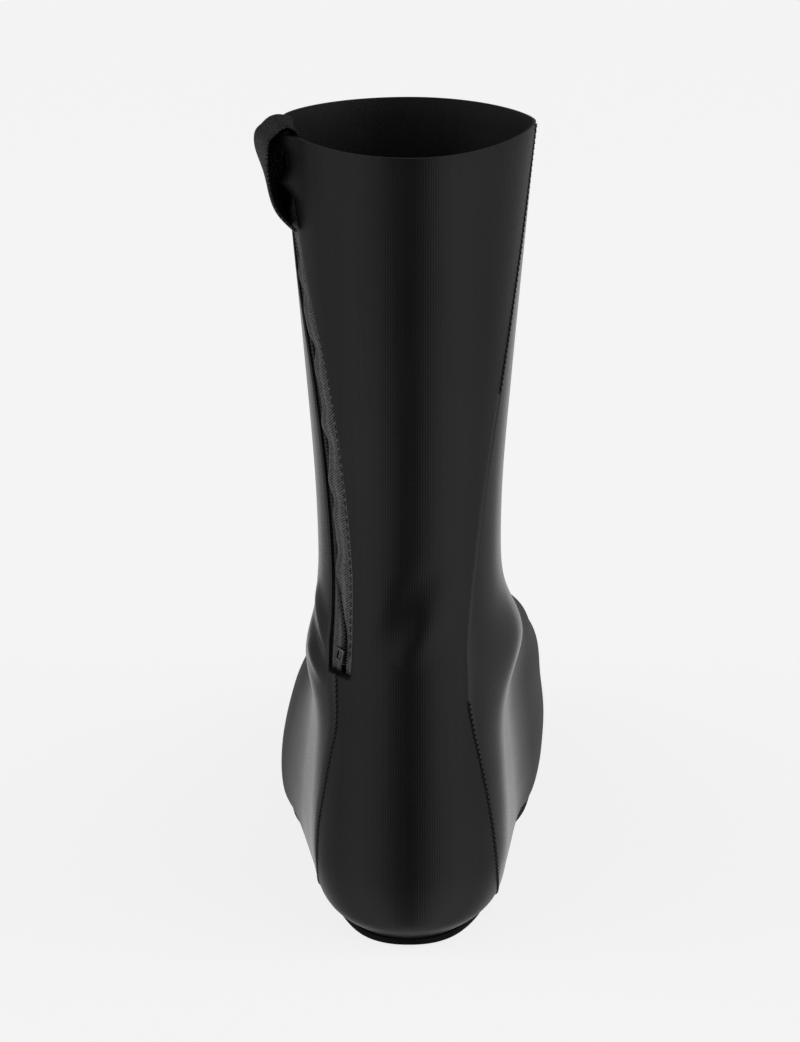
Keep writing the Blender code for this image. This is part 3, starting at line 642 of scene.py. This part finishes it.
def upper_columns(v):
    """Distances round one level: the inner side from toe to heel, then the outer side from heel to toe."""
    seam, hem = edge_distance(v, MEDIAL), edge_distance(v, LATERAL)
    end_medial, end_lateral = arc(v, MEDIAL)[1][-1], arc(v, LATERAL)[1][-1]
    wide, narrow = SEAM_LIP
    medial = np.concatenate([
        np.linspace(0.0, seam - wide, REAR_COLUMNS),
        [seam - narrow, seam, seam + narrow],
        np.linspace(seam + wide, end_medial, FRONT_COLUMNS),
    ])[::-1]
    low_seam = hem + LOW_SEAM
    lateral = np.concatenate([
        np.linspace(0.0, hem - wide, REAR_COLUMNS)[1:],
        [hem - narrow, hem],
        np.linspace(hem, low_seam - wide, 6)[1:],
        [low_seam - narrow, low_seam, low_seam + narrow],
        [hem + SLOT_WIDTH, hem + SLOT_WIDTH + narrow],
        np.linspace(hem + SLOT_WIDTH + wide, end_lateral, FRONT_COLUMNS),
    ])
    return medial, lateral


def make_upper():
    """Shell with creases, hem waves, seam grooves and the slot of the zip."""
    levels = np.linspace(0, COLLAR, COLLAR * ROWS_PER_LEVEL + 1)
    outer, along = [], []
    for v in levels:
        medial, lateral = upper_columns(v)
        points = np.concatenate([around(v, MEDIAL, medial), around(v, LATERAL, lateral)])
        outer.append(points)
        along.append(np.concatenate([medial, -lateral]))
    outer, along = np.array(outer)[:, :-1], np.array(along)
    heel = FRONT_COLUMNS + 3 + REAR_COLUMNS - 1
    seam = FRONT_COLUMNS + 1
    hem = heel + REAR_COLUMNS + 1
    low_seam = hem + 7
    slot = low_seam + 2
    normals = normals_of(outer)
    climb = np.linalg.norm(np.diff(outer[:, heel], axis=0), axis=1)
    height = np.concatenate([[0.0], np.cumsum(climb)])
    columns = outer.shape[1]

    relief = crease_relief(outer)
    steps = np.linalg.norm(np.diff(outer[:, heel:hem + 1], axis=1), axis=2)
    behind = np.cumsum(steps[:, ::-1], axis=1)[:, ::-1]
    relief[:, heel:hem] += hem_relief(outer[:, heel:hem], behind)
    relief[:, hem] += hem_relief(outer[:, hem], np.zeros(len(levels)))
    zip_row = ZIP_END * ROWS_PER_LEVEL
    for column, top, groove in ((seam, len(levels), SEAM_GROOVE), (low_seam, zip_row + 1, LOW_GROOVE)):
        relief[:top, column] -= groove
        relief[:top, column - 1] -= GROOVE_SIDE
        relief[:top, column + 1] -= GROOVE_SIDE
    relief[-1] -= RIM_ROLL
    wall = np.full(relief.shape, WALL)
    wall[-1] -= RIM_THIN
    for column in (hem, slot):
        relief[zip_row:, column] -= SLOT_ROLL
        wall[zip_row:, column] -= SLOT_THIN
    shaped = outer + relief[..., None] * normals
    inner = shaped - wall[..., None] * normals

    tags = np.zeros((len(levels) - 1, columns), dtype=int)
    tags[:, :seam] = 1
    tags[:, low_seam:] = 1
    present = np.ones(tags.shape, dtype=bool)
    present[zip_row:, hem:slot] = False
    uv = np.stack([along, np.repeat(height[:, None], along.shape[1], axis=1)], axis=-1) * MM
    materials = [REAR_FABRIC, FRONT_FABRIC, LINING]
    upper = solid_between("upper_shell", shaped, inner, present, True, uv, tags, 2, materials)
    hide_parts("upper")
    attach(upper, SHOE)


def make_sole():
    """Panel under the sole edge, with both windows cut."""
    angles = np.linspace(0.0, math.pi, SOLE_ROWS + 1)
    lateral, medial = upper_point(0, LATERAL, angles), upper_point(0, MEDIAL, angles)
    lateral[1:-1, 0] -= SOLE_LIP
    medial[1:-1, 0] += SOLE_LIP
    data = bmesh.new()
    rows = []
    for left, right in zip(lateral, medial):
        top_z = left[2] - GAP
        count = 0 if abs(right[0] - left[0]) < 1.0 else SOLE_COLUMNS
        spread = np.linspace(left[0], right[0], count + 1)
        rows.append([[data.verts.new((x, left[1], z)) for x in spread] for z in (top_z, top_z - SOLE_THICK)])
    for near, far in zip(rows, rows[1:]):
        for a, b in zip(near, far):
            for j in range(SOLE_COLUMNS):
                ring = [a[min(j, len(a) - 1)], a[min(j + 1, len(a) - 1)]]
                ring += [b[min(j + 1, len(b) - 1)], b[min(j, len(b) - 1)]]
                data.faces.new(list(dict.fromkeys(ring)))
        for end in (0, -1):
            data.faces.new([near[0][end], far[0][end], far[1][end], near[1][end]])
    sole = finish_mesh("sole_panel", data, [SOLE_RUBBER])
    for window in WINDOWS:
        cutter = make_cutter(window)
        cut = sole.modifiers.new("cut", "BOOLEAN")
        cut.operation, cut.solver, cut.object = "DIFFERENCE", "EXACT", cutter
        settle(sole)
        bpy.data.objects.remove(cutter, do_unlink=True)
    soften(sole, 0.0005)
    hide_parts("sole")
    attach(sole, SHOE)


def settle(piece):
    """Replace a piece's mesh with what its modifiers make of it."""
    depsgraph = bpy.context.evaluated_depsgraph_get()
    mesh = bpy.data.meshes.new_from_object(piece.evaluated_get(depsgraph))
    piece.modifiers.clear()
    piece.data = mesh


def soften(piece, width, segments=2):
    """Round a piece's sharp edges."""
    bevel = piece.modifiers.new("edges", "BEVEL")
    bevel.width, bevel.segments = width, segments
    bevel.limit_method, bevel.angle_limit = "ANGLE", math.radians(40.0)
    bevel.harden_normals = False
    settle(piece)
    piece.data.shade_smooth()
    piece.data.set_sharp_from_angle(angle=math.radians(45.0))


def make_cutter(window):
    data = bmesh.new()
    rings = []
    for z in (-CUTTER_REACH, CUTTER_REACH):
        ring = []
        for k in range(WINDOW_SIDES):
            turn = 2 * math.pi * (k + 0.5) / WINDOW_SIDES
            across, along = math.cos(turn), math.sin(turn)
            size = (abs(across) ** WINDOW_POWER + abs(along) ** WINDOW_POWER) ** (-1 / WINDOW_POWER)
            x = window.x + window.half_width * size * across
            y = window.y + window.half_length * size * along
            ring.append(data.verts.new((x, y, z)))
        rings.append(ring)
    data.faces.new(rings[0])
    data.faces.new(rings[1])
    for k in range(WINDOW_SIDES):
        after = (k + 1) % WINDOW_SIDES
        data.faces.new([rings[0][k], rings[0][after], rings[1][after], rings[1][k]])
    return finish_mesh(window.name, data, [SOLE_RUBBER])


def lengths_along(levels, ahead):
    """Distance up the zip of each level."""
    points = patch(LATERAL, levels, np.array([ahead]))[0][:, 0]
    return np.concatenate([[0.0], np.cumsum(np.linalg.norm(np.diff(points, axis=0), axis=1))])


def make_tapes():
    """The rear tape rises to the coil and puckers between its stitches. The front tape lies flat."""
    levels = np.linspace(TAPE_LOW, TAPE_HIGH, 260)
    height = lengths_along(levels, 6.0)
    sway = 0.9 * np.sin(height / 6.3) + 0.6 * np.sin(height / 3.7 + 1.0)
    calm = smoothstep(0.0, 60.0, height) * 0.85 + 0.15
    rear = np.linspace(0.0, 1.0, 15)[None, :]
    drift = drift_at(levels)[:, None]
    edge = REAR_TAPE_TO - 0.5 + drift + 0.4 * (sway * calm)[:, None]
    ahead = REAR_TAPE_FROM + (edge - REAR_TAPE_FROM) * rear
    points, normals = patch(LATERAL, levels, ahead)
    lift = smoothstep(0.5, 8.0, ahead) * 1.25
    pucker = 0.55 * np.sin(height / 2.9) + 0.4 * np.sin(height / 5.3 + 0.7)
    pucker += 0.25 * np.sin(height / 1.7 + 2.0)
    ripple = smoothstep(1.5, 8.0, ahead) * (pucker * calm)[:, None]
    roll = -0.5 * smoothstep(9.0, 12.0, ahead)
    depth = TAPE_DEPTH - lift - ripple - roll
    place_tape("zip_tape_rear_cloth", "zip_tape_rear", points, normals, depth, ahead, height)
    share = np.linspace(0.0, 1.0, 7)[None, :]
    ahead = FRONT_TAPE_FROM + (FRONT_TAPE_TO - FRONT_TAPE_FROM) * share + drift * (1.0 - share)
    points, normals = patch(LATERAL, levels, ahead)
    depth = np.full(ahead.shape, TAPE_DEPTH)
    place_tape("zip_tape_front_cloth", "zip_tape_front", points, normals, depth, ahead, height)


def place_tape(name, node, points, normals, depth, ahead, height):
    outer = points - depth[..., None] * normals
    inner = outer - TAPE_THICK * normals
    shape = (points.shape[0] - 1, points.shape[1] - 1)
    uv = np.stack([ahead, np.repeat(height[:, None], ahead.shape[1], axis=1)], axis=-1) * MM
    tags = np.zeros(shape, dtype=int)
    tape = solid_between(name, outer, inner, np.ones(shape, dtype=bool), False, uv, tags, 0, [TAPE_CLOTH])
    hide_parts(node)
    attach(tape, SHOE)


def level_of(levels, height, wanted):
    return np.interp(wanted, height, levels)


def make_coil():
    """Rows of coil loops from both sides, meshed together."""
    levels = np.linspace(COIL_LOW, COIL_HIGH, 240)
    height = lengths_along(levels, COIL_MIDDLE)
    spots = np.arange(TOOTH_PITCH, height[-1] - TOOTH_PITCH / 2, TOOTH_PITCH / 2)
    centres = np.interp(spots, height, levels)
    middle = (COIL_MIDDLE + drift_at(centres))[:, None]
    points, normals = patch(LATERAL, centres, middle + np.array([[-0.05, 0.05]]))
    data = bmesh.new()
    data.loops.layers.uv.new("cloth")
    for k in range(len(spots)):
        here = points[k].mean(axis=0)
        out = normals[k].mean(axis=0)
        side = points[k, 1] - points[k, 0]
        side = side / np.linalg.norm(side) * (1 if k % 2 else -1)
        path = [
            here - out * TOOTH_LOW + side * TOOTH_HALF,
            here - out * (TOOTH_HIGH + 0.25) + side * TOOTH_HALF,
            here - out * TOOTH_HIGH + side * TOOTH_HALF * 0.6,
            here - out * TOOTH_HIGH - side * 0.3,
            here - out * (TOOTH_HIGH + 0.45) - side * 0.75,
            here - out * TOOTH_LOW - side * 0.6,
        ]
        tube(data, path, TOOTH_RADIUS, 6)
    coil = finish_mesh("zip_coil_teeth", data, [NYLON], 60.0)
    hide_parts("zip_coil")
    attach(coil, SHOE)


def make_loop():
    """Webbing of even thickness along the loop path, with thinner selvedges."""
    path = [row[1:] for row in LOOP_PATH]
    steps = np.linspace(0, len(path) - 1, 109)
    share = np.linspace(0.0, 1.0, 19)
    columns = LOOP_REAR + (LOOP_FRONT - LOOP_REAR) * share
    thin = 1.0 - SELVEDGE_THIN * np.clip(np.abs(share - 0.5) * 2.0, 0.0, 1.0) ** SELVEDGE_POWER
    outer, inner, length = [], [], [0.0]
    previous = None
    for step in steps:
        row = LoopRow("between", *curve_at(path, step))
        here = np.array([row.up, row.out])
        run = (curve_at(path, step + TINY) - curve_at(path, step - TINY))[:2]
        square = np.array([-run[1], run[0]]) / np.linalg.norm(run) * LOOP_THICK / 2
        if previous is not None:
            length.append(length[-1] + float(np.linalg.norm(here - previous)))
        previous = here
        for rows, sign in ((outer, 1.0), (inner, -1.0)):
            offsets = [sign * square * part for part in thin]
            rows.append([loop_point(row, *offset, across) for offset, across in zip(offsets, columns)])
    outer, inner = np.array(outer), np.array(inner)
    shape = (len(steps) - 1, len(columns) - 1)
    uv = np.stack(np.meshgrid(columns, np.array(length)), axis=-1) * MM
    tags, present = np.zeros(shape, dtype=int), np.ones(shape, dtype=bool)
    loop = solid_between("pull_loop_webbing", outer, inner, present, False, uv, tags, 0, [WEBBING])
    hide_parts("pull_loop")
    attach(loop, SHOE)


def loop_point(row, more_up, more_out, across):
    """Point of the webbing on a row of its path, some way across it and off its middle face."""
    rise, reach = row.up + more_up, row.out + more_out
    level = COLLAR + min(rise, 0.0) / (LEVELS[COLLAR].back_z - LEVELS[COLLAR - 1].back_z)
    middle = (LOOP_REAR + LOOP_FRONT) / 2
    hold = min((1.25 + smoothstep(8.0, 16.0, -row.up)) * row.flat, 1.0)
    tuck = max(hold, smoothstep(20.0, 27.0, -row.up)) * smoothstep(TUCK_FROM, LOOP_FRONT, across)
    points, normals = patch(LATERAL, [level], np.array([across, middle]) + row.lean)
    curved = points[0, 0] + (reach + tuck * (TUCK_OUT - row.out)) * normals[0, 0]
    along = np.array([row.turn, math.sqrt(1.0 - row.turn**2), 0.0])
    outward = np.array([-along[1], along[0], 0.0])
    straight = points[0, 1] + (across - middle) * along + reach * outward
    place = curved + row.flat * (1.0 - tuck) * (straight - curved)
    drop = 1.0 - CREST_DROP * smoothstep(TUCK_FROM, LOOP_FRONT, across)
    return place + np.array([0.0, 0.0, max(rise, 0.0) * drop])


def make_hardware():
    """Metal pieces keep their solids' shapes, with rounded edges."""
    for node, name, material, width, body in (
        ("zip_bottom_stop", "zip_bottom_stop_metal", PALE_METAL, 0.00018, SHOE),
        ("zip_slider", "zip_slider_metal", DARK_METAL, 0.00022, SHOE),
        ("zip_pull_tab", "zip_pull_tab_metal", DARK_METAL, 0.00022, TAB),
    ):
        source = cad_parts[node]
        piece = bpy.data.objects.new(name, source.data.copy())
        piece.matrix_world = source.matrix_world
        bpy.context.scene.collection.objects.link(piece)
        piece.data.materials.clear()
        piece.data.materials.append(material)
        data = bmesh.new()
        data.from_mesh(piece.data)
        bmesh.ops.remove_doubles(data, verts=data.verts[:], dist=0.000002)
        bmesh.ops.dissolve_limit(data, angle_limit=0.02, verts=data.verts[:], edges=data.edges[:])
        data.to_mesh(piece.data)
        data.free()
        soften(piece, width)
        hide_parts(node)
        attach(piece, body)


def make_seam_threads():
    """Overlock threads zigzag over the seams, and a bar tack closes the foot of the zip."""
    data = bmesh.new()
    data.loops.layers.uv.new("cloth")
    for side, ahead, low, high, half in (
        (MEDIAL, 0.0, 12.95, COLLAR - 0.02, 0.9),
        (MEDIAL, 0.0, 0.15, 7.0, 0.9),
        (LATERAL, LOW_SEAM, 0.15, ZIP_END - 0.1, 0.5),
    ):
        levels = np.linspace(low, high, int((high - low) * 30))
        points = patch(side, levels, np.array([ahead]))[0][:, 0]
        height = np.concatenate([[0.0], np.cumsum(np.linalg.norm(np.diff(points, axis=0), axis=1))])
        count = int(height[-1] / 0.95)
        at = np.interp(np.linspace(0, height[-1], count), height, levels)
        path = []
        for k, v in enumerate(at):
            turn = half if k % 2 else -half
            spots, normals = patch(side, [v], np.array([ahead + turn * 0.6, ahead + turn]))
            path.append(spots[0, 0] + 0.25 * normals[0, 0])
            path.append(spots[0, 1] - 0.05 * normals[0, 1])
        tube(data, path, 0.12 + 0.14 * half, 5)
    across = np.linspace(0.5, SLOT_WIDTH - 0.5, 24)
    tack = []
    for k, ahead in enumerate(across):
        spots, normals = patch(LATERAL, [ZIP_END + (0.1 if k % 2 else -0.16)], np.array([ahead]))
        tack.append(spots[0, 0] + 0.05 * normals[0, 0])
    tube(data, tack, 0.22, 5)
    threads = finish_mesh("seam_threads", data, [SEAM_THREAD], 70.0)
    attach(threads, SHOE)


def make_surround():
    """Studio walls: bright at the sides and low beyond the shoe, dim elsewhere, dark behind the camera."""
    world = bpy.data.worlds.new("studio")
    bpy.context.scene.world = world
    world.use_nodes = True
    tree = world.node_tree

    def math_node(operation, a, b=0.0):
        node = tree.nodes.new("ShaderNodeMath")
        node.operation = operation
        for socket, value in zip(node.inputs, (a, b)):
            if hasattr(value, "node"):
                tree.links.new(value, socket)
            else:
                socket.default_value = value
        return node.outputs[0]

    def step(value, start, end, low, high):
        node = tree.nodes.new("ShaderNodeMapRange")
        node.interpolation_type = "SMOOTHSTEP"
        tree.links.new(value, node.inputs["Value"])
        for name, number in zip(("From Min", "From Max", "To Min", "To Max"), (start, end, low, high)):
            node.inputs[name].default_value = number
        return node.outputs["Result"]

    way = tree.nodes.new("ShaderNodeSeparateXYZ")
    tree.links.new(tree.nodes.new("ShaderNodeTexCoord").outputs["Generated"], way.inputs[0])
    x, y, z = way.outputs["X"], way.outputs["Y"], way.outputs["Z"]
    flat = math_node("SQRT", math_node("ADD", math_node("MULTIPLY", x, x), math_node("MULTIPLY", y, y)))
    flat = math_node("MAXIMUM", flat, 0.05)
    turn = math_node("DIVIDE", y, flat)
    walls = step(turn, -0.97, -0.80, WALL_DARK, WALL_LIGHT)
    walls = math_node("ADD", walls, step(turn, -0.2, 0.3, 0.0, WALL_DIM - WALL_LIGHT))
    beyond = step(z, -0.28, 0.02, WALL_FAR - WALL_DIM, FAR_HIGH - WALL_DIM)
    walls = math_node("ADD", walls, math_node("MULTIPLY", step(turn, 0.80, 0.96, 0.0, 1.0), beyond))
    walls = math_node("MULTIPLY", walls, step(z, 0.3, 0.8, 1.0, CEILING_SHARE))
    sides = step(math_node("DIVIDE", x, flat), -0.6, 0.6, LEFT_SHARE, 1.0)
    strength = math_node("MULTIPLY", walls, sides)
    tree.nodes["Background"].inputs["Color"].default_value = (1.0, 1.0, 1.0, 1.0)
    tree.links.new(strength, tree.nodes["Background"].inputs["Strength"])


def make_tape_stitches():
    """A row of stitches up the rear tape, just ahead of the hem."""
    data = bmesh.new()
    data.loops.layers.uv.new("cloth")
    levels = np.linspace(ZIP_END + 0.6, COLLAR - 0.8, 240)
    height = lengths_along(levels, TAPE_STITCH)
    for start in np.arange(0.5, height[-1] - 3.0, 3.1):
        path = []
        for share, sink in ((0.0, 0.6), (0.12, -0.05), (0.5, -0.25), (0.88, -0.05), (1.0, 0.6)):
            v = level_of(levels, height, start + 2.3 * share)
            spots, normals = patch(LATERAL, [v], np.array([TAPE_STITCH]))
            path.append(spots[0, 0] - (TAPE_DEPTH - 0.3 + sink) * normals[0, 0])
        tube(data, path, 0.24, 5)
    stitches = finish_mesh("tape_stitches", data, [TAPE_THREAD], 70.0)
    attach(stitches, SHOE)


def make_stage():
    under = (0.0, 0.0, -0.0002)
    bpy.ops.mesh.primitive_circle_add(vertices=96, radius=FLOOR_RADIUS, fill_type="NGON", location=under)
    floor = bpy.context.object
    floor.name = "floor"
    nodes = Nodes("floor")
    nodes.set(Base_Color=(FLOOR_GREY, FLOOR_GREY, FLOOR_GREY, 1.0), Roughness=0.9, Specular_IOR_Level=0.1)
    nodes.set(Emission_Color=(1.0, 1.0, 1.0, 1.0), Emission_Strength=FLOOR_GLOW)
    floor.data.materials.append(nodes.material)
    floor.visible_glossy = False
    make_surround()
    for box in SOFT_BOXES:
        data = bpy.data.lights.new(box.name, "AREA")
        data.shape = "RECTANGLE"
        data.size, data.size_y = box.size, box.size
        data.energy = box.radiance * math.pi * box.size**2
        light = bpy.data.objects.new(box.name, data)
        light.location = box.spot
        light.rotation_euler = (Vector(SOFT_BOX_AIM) - Vector(box.spot)).to_track_quat("-Z", "Y").to_euler()
        bpy.context.scene.collection.objects.link(light)


def make_camera():
    data = bpy.data.cameras.new("camera")
    data.sensor_width = SENSOR
    data.lens = FOCAL_LENGTH / PICTURE_HIGH * SENSOR
    data.clip_start, data.clip_end = 0.05, 60.0
    camera = bpy.data.objects.new("camera", data)
    camera.location = CAMERA_SPOT
    camera.rotation_euler = (math.radians(CAMERA_TILT), 0.0, 0.0)
    bpy.context.scene.collection.objects.link(camera)
    bpy.context.scene.camera = camera


make_camera()
make_stage()
make_upper()
make_sole()
make_tapes()
make_coil()
make_hardware()
make_loop()
make_seam_threads()
make_tape_stitches()
bpy.context.scene.view_settings.view_transform = "Standard"
